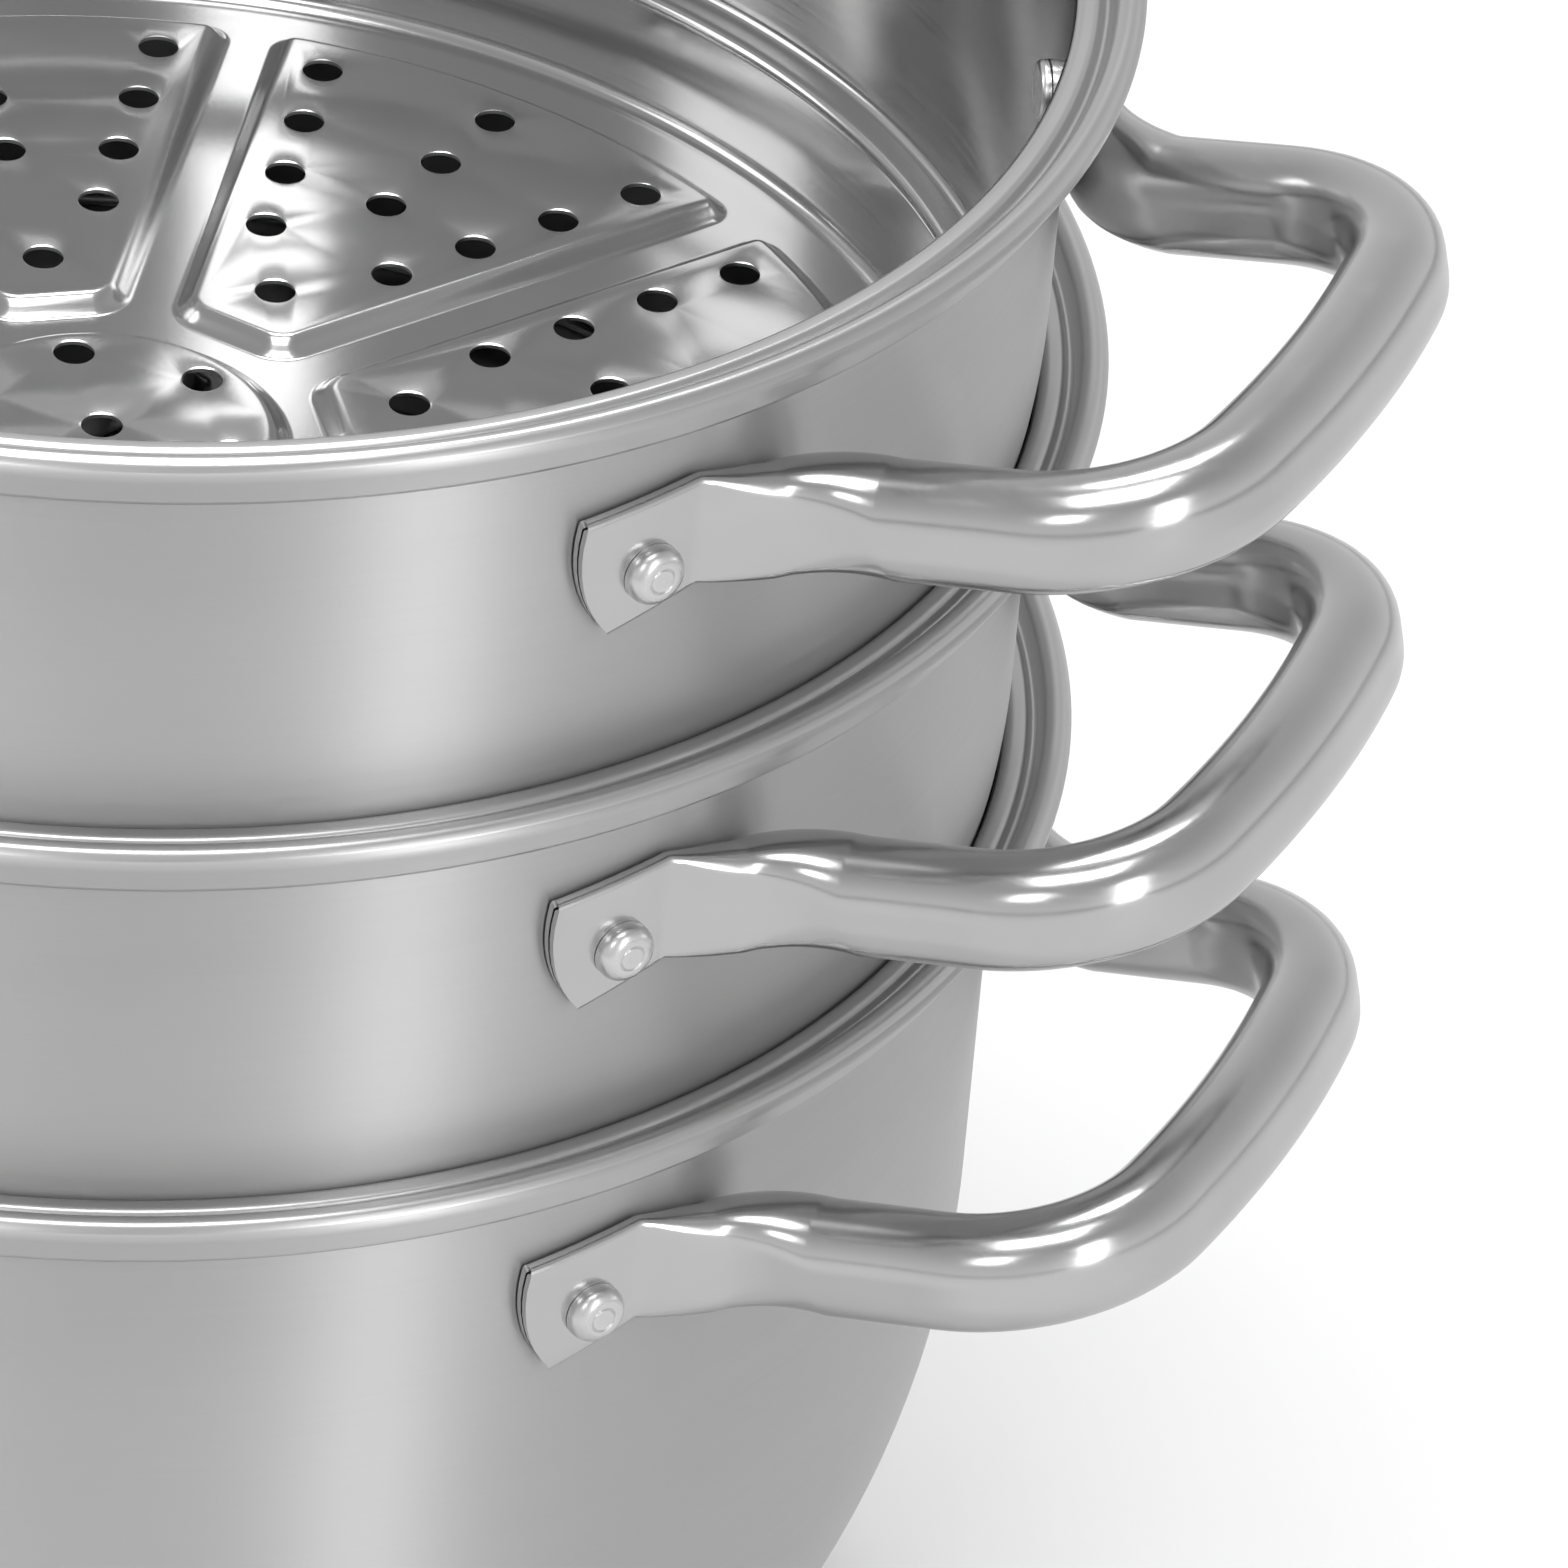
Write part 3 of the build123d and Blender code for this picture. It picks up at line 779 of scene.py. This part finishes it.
@dataclass
class Basket(Vessel):
    """Steamer basket with a leaning foot, a ledge, a spigot and a pierced floor."""

    depth: float = 94.5
    lean_radius: float = 95.0
    lean_angle: float = 10.0
    ledge_depth: float = 74.0
    ledge_corner: float = 2.2
    spigot_radius: float = 132.0
    spigot_corner: float = 1.5
    floor_corner: float = 3.0
    seat_gap: float = 0.3
    floor: PiercedFloor = field(init=False)

    def __post_init__(self) -> None:
        """Places the pierced floor."""
        self.floor = PiercedFloor(self.tier.lip - self.depth - self.sheet / 2)

    def body_line(self) -> tuple[list[Point], list[float]]:
        """Draws the wall, lean, ledge and spigot of the basket, up to the pierced floor's ring.

        Returns:
            Corner points and bend radii.
        """
        lip = self.tier.lip
        seat = lip - self.tier_pitch - self.sheet / 2 - self.bead_drop - self.bead_corner
        lean_in = self.seat_gap + self.sheet
        rise = math.sqrt(2 * self.lean_radius * lean_in - lean_in * lean_in)
        turn = math.radians(self.lean_angle)
        corner = seat + rise - self.lean_radius * math.tan(turn / 2)
        ledge = lip - self.ledge_depth - self.sheet / 2
        ledge_outer = self.mid_wall - (corner - ledge) * math.tan(turn)
        spigot = self.spigot_radius - self.sheet / 2
        points = [(self.mid_wall, corner), (ledge_outer, ledge), (spigot, ledge),
                  (spigot, self.floor.level), (self.floor.ring_radius, self.floor.level)]
        return points, [self.lean_radius, self.ledge_corner, self.spigot_corner, self.floor_corner, 0.0]

    def shape_floor(self, bench: bmesh.types.BMesh) -> None:
        """Fills the spun wall with the pierced floor."""
        self.floor.build(bench)


@dataclass
class Station:
    """One cross-section of a handle tube, all lengths in millimetres."""

    place: Vector
    heading: Vector
    lean: float
    width: float
    height: float
    sag: float

    def mirrored(self) -> "Station":
        """Mirrors the section to the handle's other half, travelled the same way.

        Returns:
            The mirrored section.
        """
        place = Vector((self.place.x, -self.place.y, self.place.z))
        heading = Vector((-self.heading.x, self.heading.y, -self.heading.z))
        return Station(place, heading, self.lean, self.width, self.height, self.sag)


@dataclass
class Handle:
    """Looped handle bent from one tube and flattened at both ends."""

    tier: Tier
    side: Side
    workshop: Workshop
    wall_radius: float = 140.0
    rivet_drop: float = 33.5
    rivet_half_spacing: float = 74.0
    leg_half_spacing: float = 50.0
    reach: float = 193.0
    tilt: float = 13.0
    bow_radius: float = 210.0
    corner_radius: float = 26.0
    root_bend: float = 14.5
    tube_height: float = 17.4
    tube_width: float = 14.6
    plate_thickness: float = 2.6
    plate_gap: float = 0.28
    plate_slit: float = 0.45
    slit_depth: float = 5.0
    end_radius: float = 20.7
    end_reach: float = 11.6
    end_rise: float = 4.9
    overhang: float = 16.0
    end_height: float = 22.0
    end_sag: float = 1.0
    fold_distance: float = 8.0
    fold_height: float = 18.2
    fold_sag: float = -4.0
    round_share: float = 0.92
    least_bulge: float = 1.0
    arc_steps: int = 8
    flat_steps: int = 8
    end_rounds: int = 5
    plate_steps: int = 14
    swell_steps: int = 8
    bend_steps: int = 20
    leg_steps: int = 5
    corner_steps: int = 18
    grip_steps: int = 10

    @property
    def plate_middle(self) -> float:
        """Radius of the middle of the flattened plate."""
        return self.wall_radius + self.plate_gap + self.plate_thickness / 2

    @property
    def rivet_turn(self) -> float:
        """Azimuth of a rivet from the handle's middle, in radians."""
        return math.asin(self.rivet_half_spacing / self.plate_middle)

    @property
    def guide(self) -> float:
        """Radius of the plate's face towards the wall."""
        return self.wall_radius + self.plate_gap

    @property
    def bend_outer(self) -> float:
        """Radius of the root bend along the tube's face towards the wall."""
        return self.root_bend + self.tube_width / 2

    @property
    def root_turn(self) -> float:
        """Azimuth at which the tube leaves the wall, in radians."""
        return math.asin((self.leg_half_spacing + self.root_bend) / (self.guide + self.bend_outer))

    @property
    def fold_turn(self) -> float:
        """Azimuth of the fold where the plate starts to swell, in radians."""
        return self.rivet_turn - self.fold_distance / self.plate_middle

    def width_at(self, share: float) -> float:
        """Width of the tube at a share of the way from the fold to the end of the bend."""
        return self.plate_thickness + share * (2 - share) * (self.tube_width - self.plate_thickness)

    def swelling_station(self, place: Vector, heading: Vector, share: float) -> Station:
        """Section of the swelling tube at a share of its way."""
        height = self.fold_height + share * (self.tube_height - self.fold_height)
        return Station(place, heading, share, self.width_at(share), height, self.fold_sag * (1 - share))

    def swelling(self) -> list[Station]:
        """Carries the swelling tube from the fold along the wall and round the root bend.

        Returns:
            Sections on the way.
        """
        wall_run = (self.fold_turn - self.root_turn) * self.guide
        bend_run = (math.pi / 2 - self.root_turn) * self.bend_outer
        root_share = wall_run / (wall_run + bend_run)
        slope = math.tan(math.radians(self.tilt))
        bend_reach = (self.guide + self.bend_outer) * math.cos(self.root_turn)
        start = (self.guide + self.width_at(root_share) / 2) * math.cos(self.root_turn)
        stations = []
        for index in range(self.swell_steps):
            part = index / self.swell_steps
            turn = self.fold_turn + part * (self.root_turn - self.fold_turn)
            arm = self.guide + self.width_at(root_share * part) / 2
            place = Vector((arm * math.cos(turn), arm * math.sin(turn), 0.0))
            heading = Vector((math.sin(turn), -math.cos(turn), 0.0))
            stations.append(self.swelling_station(place, heading, root_share * part))
        for index in range(self.bend_steps + 1):
            part = index / self.bend_steps
            share = root_share + (1 - root_share) * part
            turn = self.root_turn + part * (math.pi / 2 - self.root_turn)
            arm = self.bend_outer - self.width_at(share) / 2
            reach = bend_reach - arm * math.cos(turn)
            side = self.leg_half_spacing + self.root_bend - arm * math.sin(turn)
            place = Vector((reach, side, slope * (reach - start)))
            heading = Vector((math.sin(turn), -math.cos(turn), slope * math.sin(turn)))
            stations.append(self.swelling_station(place, heading, share))
        return stations

    def loop(self, root: Vector) -> list[Station]:
        """Carries the tube from the swollen leg to the middle of the grip.

        Args:
            root: Place where the leg has its full width.

        Returns:
            Sections in the tilted plane of the loop.
        """
        tilt = math.radians(self.tilt)
        bow = (self.reach - root.x) / math.cos(tilt) - self.bow_radius
        run = self.bow_radius - self.corner_radius
        side = self.leg_half_spacing - self.corner_radius
        rise = bow + math.sqrt(run * run - side * side)
        meet = math.atan2(rise - bow, side)
        flat = [(self.leg_half_spacing, rise * index / self.leg_steps, 0.0)
                for index in range(1, self.leg_steps)]
        for index in range(self.corner_steps):
            turn = meet * index / self.corner_steps
            flat.append((side + self.corner_radius * math.cos(turn),
                         rise + self.corner_radius * math.sin(turn), turn))
        for index in range(self.grip_steps + 1):
            turn = meet + (math.pi / 2 - meet) * index / self.grip_steps
            flat.append((self.bow_radius * math.cos(turn), bow + self.bow_radius * math.sin(turn), turn))
        stations = []
        for across, out, turn in flat:
            place = Vector((root.x + out * math.cos(tilt), across, root.z + out * math.sin(tilt)))
            heading = Vector((math.cos(turn) * math.cos(tilt), -math.sin(turn),
                              math.cos(turn) * math.sin(tilt)))
            stations.append(Station(place, heading, 1.0, self.tube_width, self.tube_height, 0.0))
        return stations

    def section(self, bench: bmesh.types.BMesh, width: float, height: float,
                bend: Matrix) -> list[bmesh.types.BMVert]:
        """Adds one rounded section to the bench.

        Args:
            bench: Mesh to add to.
            width: Width of the section, in millimetres.
            height: Height of the section, in millimetres.
            bend: Turn and place of the section, in millimetres.

        Returns:
            The section's vertices in order, with the flat sides drawn out.
        """
        outline = self.outline(width, height)
        ring = bmesh.ops.create_circle(bench, cap_ends=False, segments=len(outline), radius=width)["verts"]
        for vert, (x, y) in zip(ring, outline):
            vert.co = bend @ Vector((x, y, 0.0))
        return ring

    def outline(self, width: float, height: float) -> list[Point]:
        """Draws a rounded section: four corner arcs, with the two long flats divided.

        Args:
            width: Width of the section, in millimetres.
            height: Height of the section, in millimetres.

        Returns:
            Points in order round the section.
        """
        radius = self.round_share * width / 2
        flat = height / 2 - radius
        points = []
        for quarter, (side, level) in enumerate(((1, 1), (-1, 1), (-1, -1), (1, -1))):
            for step in range(self.arc_steps + 1):
                turn = (quarter + step / self.arc_steps) * math.pi / 2
                points.append((side * (width / 2 - radius) + radius * math.cos(turn),
                               level * flat + radius * math.sin(turn)))
            if quarter in (1, 3):
                points += [(side * width / 2, level * flat * (1 - 2 * step / self.flat_steps))
                           for step in range(1, self.flat_steps)]
        return points

    def plate_ring(self, bench: bmesh.types.BMesh, share: float) -> list[bmesh.types.BMVert]:
        """Adds one section of the plate, at a share of the way from its round end to the fold.

        Args:
            bench: Mesh to add to.
            share: Zero at the round end, one at the fold.

        Returns:
            The section's vertices in order.
        """
        reference = 2.0 * self.plate_thickness
        ring = self.section(bench, self.plate_thickness, reference, Matrix.Identity(4))
        radius = self.round_share * self.plate_thickness / 2
        flat = reference / 2 - radius
        for vert in ring:
            depth, rise = vert.co.x, vert.co.y
            along = -self.end_reach
            level = 0.0
            for _ in range(self.end_rounds):
                taper = (along + self.overhang) / (self.fold_distance + self.overhang)
                height = self.end_height + taper * (self.fold_height - self.end_height)
                sag = self.end_sag + taper * (self.fold_sag - self.end_sag)
                spread = max(-1.0, min(1.0, rise / flat))
                level = rise + spread * (height - reference) / 2 - sag
                above = level - self.end_rise
                bulge = math.sqrt(max(self.end_radius ** 2 - above ** 2, self.least_bulge ** 2))
                end = self.end_radius - self.end_reach - bulge
                along = end + share * (self.fold_distance - end)
            turn = self.rivet_turn - along / self.plate_middle
            arm = self.plate_middle + depth
            vert.co = Vector((arm * math.cos(turn), arm * math.sin(turn), level))
        return ring

    def ring_at(self, bench: bmesh.types.BMesh, station: Station) -> list[bmesh.types.BMVert]:
        """Adds the section of one station.

        Args:
            bench: Mesh to add to.
            station: The station.

        Returns:
            The section's vertices in order.
        """
        lean = math.radians(self.tilt * station.lean)
        along = station.heading.normalized()
        out = along.cross(Vector((-math.sin(lean), 0, math.cos(lean)))).normalized()
        up = out.cross(along).normalized()
        bend = Matrix((out, up, along)).transposed().to_4x4()
        bend.translation = station.place - Vector((0, 0, station.sag))
        return self.section(bench, station.width, station.height, bend)

    def build(self) -> None:
        """Bends the tube, slits its flattened ends and hands it over."""
        bench = bmesh.new()
        leg = self.swelling()
        half = leg + self.loop(leg[-1].place)
        rings = [self.plate_ring(bench, index / self.plate_steps) for index in range(self.plate_steps)]
        rings += [self.ring_at(bench, station) for station in half]
        rings += [self.ring_at(bench, station.mirrored()) for station in reversed(half[:-1])]
        for index in reversed(range(self.plate_steps)):
            ring = self.plate_ring(bench, index / self.plate_steps)
            for vert in ring:
                vert.co.y = -vert.co.y
            rings.append(ring)
        for first, second in zip(rings, rings[1:]):
            edges = [edge for ring in (first, second) for edge in self.loop_edges(ring)]
            bmesh.ops.bridge_loops(bench, edges=edges)
        for ring in (rings[0], rings[-1]):
            self.slit(bench, ring)
        bmesh.ops.recalc_face_normals(bench, faces=bench.faces[:])
        place = Matrix.Rotation(math.radians(self.side.degrees), 4, "Z")
        lift = Matrix.Translation((0, 0, (self.tier.lip - self.rivet_drop) * MM))
        bmesh.ops.transform(bench, matrix=lift @ place @ Matrix.Scale(MM, 4), verts=bench.verts[:])
        node = f"{self.tier.body}_handle_{self.side.word}"
        piece = self.workshop.piece(bench, node + "_tube", [BRIGHT_TUBE])
        self.workshop.hand_over(piece, self.tier.body, "handle_steel", node)

    @staticmethod
    def loop_edges(ring: list[bmesh.types.BMVert]) -> list[bmesh.types.BMEdge]:
        """Edges that join the vertices of one section."""
        members = set(ring)
        return list({edge for vert in ring for edge in vert.link_edges if edge.other_vert(vert) in members})

    def slit(self, bench: bmesh.types.BMesh, ring: list[bmesh.types.BMVert]) -> None:
        """Closes a flattened end and sinks the slit between its two walls.

        Args:
            bench: Mesh of the tube.
            ring: Section at the plate's round end.
        """
        cap = bmesh.ops.contextual_create(bench, geom=self.loop_edges(ring))["faces"][0]
        bmesh.ops.inset_region(bench, faces=[cap], thickness=(self.plate_thickness - self.plate_slit) / 2,
                               use_even_offset=True, use_boundary=True)
        floor = bmesh.ops.extrude_discrete_faces(bench, faces=[cap])["faces"][0]
        turn = self.slit_depth / self.plate_middle
        sign = -1 if floor.calc_center_median().y > 0 else 1
        for vert in floor.verts:
            vert.co = Matrix.Rotation(sign * turn, 4, "Z") @ vert.co


@dataclass
class Rivet:
    """Rivet with a domed, turned head outside and a low head inside."""

    tier: Tier
    side: Side
    end: End
    workshop: Workshop
    wall_radius: float = 140.0
    sheet: float = 0.8
    plate: float = 2.88
    drop: float = 33.5
    azimuth: float = 31.51
    head_radius: float = 4.6
    head_height: float = 3.0
    dome: float = 2.2
    mark_radius: float = 2.1
    mark_width: float = 0.4
    mark_depth: float = 0.3
    shank_radius: float = 2.5
    inner_radius: float = 4.8
    inner_height: float = 1.6
    inner_dome: float = 1.0
    seat_gap: float = 0.1
    edge_radius: float = 0.12
    mark_floor_radius: float = 0.1
    steps: int = 48

    def outline(self) -> SheetLine:
        """Draws the rivet from the outer head's centre to the inner head's centre.

        Returns:
            Outline, to be spun round the rivet's axis.
        """
        seat = self.wall_radius + self.plate
        top = seat + self.head_height
        inside = self.wall_radius - self.sheet - self.seat_gap
        low = inside - self.inner_height
        mark = self.mark_radius - self.mark_width
        points = [(0.0, top), (mark, top), (self.mark_radius - self.mark_width / 2, top - self.mark_depth),
                  (self.mark_radius, top), (self.head_radius, top), (self.head_radius, seat),
                  (self.shank_radius, seat), (self.shank_radius, inside), (self.inner_radius, inside),
                  (self.inner_radius, low), (0.0, low)]
        edge = self.edge_radius
        radii = [0.0, edge, self.mark_floor_radius, edge, self.dome, edge, edge, edge, edge,
                 self.inner_dome, 0.0]
        return SheetLine(points, radii, steps=self.steps, support=edge)

    def build(self) -> None:
        """Spins the rivet, sets it in the wall and hands it over."""
        bench = bmesh.new()
        self.outline().spin(bench)
        bmesh.ops.recalc_face_normals(bench, faces=bench.faces[:])
        local = bench.verts.layers.float_vector.new("turned")
        for vert in bench.verts:
            vert[local] = vert.co
        facing = self.end.sign * math.cos(math.radians(self.side.degrees))
        turn = math.radians(self.side.degrees + math.copysign(self.azimuth, facing))
        place = Matrix.Translation((0, 0, (self.tier.lip - self.drop) * MM)) @ Matrix.Rotation(turn, 4, "Z")
        bmesh.ops.transform(bench, matrix=place @ Matrix.Rotation(math.pi / 2, 4, "Y"), verts=bench.verts[:])
        node = f"{self.tier.body}_rivet_{self.side.word}_{self.end.word}"
        piece = self.workshop.piece(bench, node + "_turned", [TURNED_RIVET])
        self.workshop.hand_over(piece, self.tier.body, "rivet_steel", node)


@dataclass(frozen=True)
class Lamp:
    """A soft studio lamp: where it stands, how large it is and how bright its face is."""

    name: str
    place: Place
    aim: Place
    width: float
    height: float
    watts: float

    def build(self) -> None:
        """Makes the lamp, turned to its aim."""
        light = bpy.data.lights.new(self.name, "AREA")
        light.shape = "RECTANGLE"
        light.size = self.width
        light.size_y = self.height
        light.energy = self.watts
        lamp = bpy.data.objects.new(self.name, light)
        lamp.location = self.place
        lamp.rotation_euler = (Vector(self.aim) - Vector(self.place)).to_track_quat("-Z", "Y").to_euler()
        bpy.context.scene.collection.objects.link(lamp)


@dataclass
class Studio:
    """Pale floor, soft lamps and the camera of the photograph."""

    world_top: float = 0.45
    world_low: float = 0.85
    world_crown: float = 0.8
    floor_size: float = 60.0
    floor_drop: float = 0.0002
    floor_colour: str = "#F7F7F7"
    # Painted shade: a darker floor colour, seen only in the steel's reflections.
    floor_mirrored: str = "#DCDCDC"
    floor_roughness: float = 0.9
    tooth_mm: float = 1.6667
    tooth_depth: float = 0.02
    lens: float = 283.33
    sensor: float = 36.0
    sight: float = 20.0
    camera_place: Place = (0.6701, -1.4050, 1.2459)
    camera_forward: Place = (-0.30237, 0.76532, -0.56821)
    camera_up: Place = (-0.28986, 0.49406, 0.81969)
    lamps: tuple[Lamp, ...] = (
        Lamp("back_softbox", (-0.5, 1.3, 2.9), (0.0, 0.0, 0.25), 1.0, 0.8, 26.0),
        Lamp("left_softbox", (-2.4, -0.9, 1.3), (0.0, 0.0, 0.2), 1.1, 2.2, 16.0),
        Lamp("front_softbox", (0.25, -2.36, 1.9), (0.0, 0.0, 0.25), 0.7, 0.7, 7.0),
        Lamp("right_softbox", (2.1, -1.15, 1.0), (0.0, 0.0, 0.2), 0.5, 1.9, 12.0),
        Lamp("top_softbox", (0.2, -0.4, 2.6), (0.0, 0.0, 0.2), 1.2, 1.2, 24.0),
    )

    def build(self) -> None:
        """Sets up floor, world, lamps and camera."""
        self.floor()
        self.world()
        for lamp in self.lamps:
            lamp.build()
        self.camera()
        bpy.context.scene.view_settings.view_transform = "Standard"

    def floor(self) -> None:
        """Lays the pale floor, with painted shade: it shows a darker colour where the steel reflects it."""
        bench = bmesh.new()
        bmesh.ops.create_grid(bench, x_segments=2, y_segments=2, size=self.floor_size / 2)
        bmesh.ops.translate(bench, verts=bench.verts[:], vec=(0.0, 0.0, -self.floor_drop))
        mesh = bpy.data.meshes.new("floor")
        bench.to_mesh(mesh)
        bench.free()
        material = bpy.data.materials.new("pale_paper_floor")
        material.use_nodes = True
        tree = material.node_tree
        tree.nodes.clear()
        place = add_node(tree, "ShaderNodeTexCoord").outputs["Object"]
        tooth = add_node(tree, "ShaderNodeTexNoise", {}, {"Vector": place, "Scale": 1 / (self.tooth_mm * MM)})
        bump = add_node(tree, "ShaderNodeBump", {}, {
            "Distance": self.tooth_depth * MM, "Height": tooth.outputs["Fac"]})
        # Painted shade: glossy rays see the floor darker, which dims the reflections in the steel walls.
        seen_by = add_node(tree, "ShaderNodeLightPath")
        shade = add_node(tree, "ShaderNodeMix", {"data_type": "RGBA"}, {
            0: seen_by.outputs["Is Glossy Ray"], COLOUR_A: linear(self.floor_colour),
            COLOUR_B: linear(self.floor_mirrored)})
        paper = add_node(tree, "ShaderNodeBsdfPrincipled", {}, {
            "Base Color": shade.outputs[COLOUR_OUT], "Roughness": self.floor_roughness,
            "Normal": bump.outputs["Normal"]})
        add_node(tree, "ShaderNodeOutputMaterial", {}, {"Surface": paper.outputs["BSDF"]})
        mesh.materials.append(material)
        floor = bpy.data.objects.new("floor", mesh)
        bpy.context.scene.collection.objects.link(floor)

    def world(self) -> None:
        """Makes the soft grey room: paler towards the horizon, darker overhead."""
        world = bpy.data.worlds.new("studio_room")
        bpy.context.scene.world = world
        world.use_nodes = True
        tree = world.node_tree
        tree.nodes.clear()
        toward = add_node(tree, "ShaderNodeTexCoord").outputs["Generated"]
        height = add_node(tree, "ShaderNodeSeparateXYZ", {}, {0: toward})
        level = add_node(tree, "ShaderNodeMapRange", {}, {
            "Value": height.outputs["Z"], "From Min": 0.0, "From Max": self.world_crown,
            "To Min": self.world_low, "To Max": self.world_top})
        glow = add_node(tree, "ShaderNodeBackground", {}, {
            "Color": (1.0, 1.0, 1.0, 1.0), "Strength": level.outputs["Result"]})
        add_node(tree, "ShaderNodeOutputWorld", {}, {"Surface": glow.outputs["Background"]})

    def camera(self) -> None:
        """Places the camera as the photograph was taken."""
        data = bpy.data.cameras.new("camera")
        data.sensor_width = self.sensor
        data.sensor_fit = "HORIZONTAL"
        data.lens = self.lens
        data.clip_end = self.sight
        camera = bpy.data.objects.new("camera", data)
        ahead = Vector(self.camera_forward).normalized()
        right = ahead.cross(Vector(self.camera_up)).normalized()
        up = right.cross(ahead)
        turn = Matrix((right, up, -ahead)).transposed().to_4x4()
        camera.matrix_world = Matrix.Translation(self.camera_place) @ turn
        bpy.context.scene.collection.objects.link(camera)
        bpy.context.scene.camera = camera


def main() -> None:
    """Builds the vessels, handles and rivets of every tier, then the studio."""
    logging.basicConfig(level=logging.INFO, format="%(message)s")
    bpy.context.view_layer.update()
    workshop = Workshop()
    for tier in Tier:
        if tier is Tier.POT:
            pot = Pot(tier, workshop)
            pot.build()
            pot.dress_base()
        else:
            Basket(tier, workshop).build()
        for side in Side:
            Handle(tier, side, workshop).build()
            for end in End:
                Rivet(tier, side, end, workshop).build()
    Studio().build()


if __name__ == "__main__":
    main()
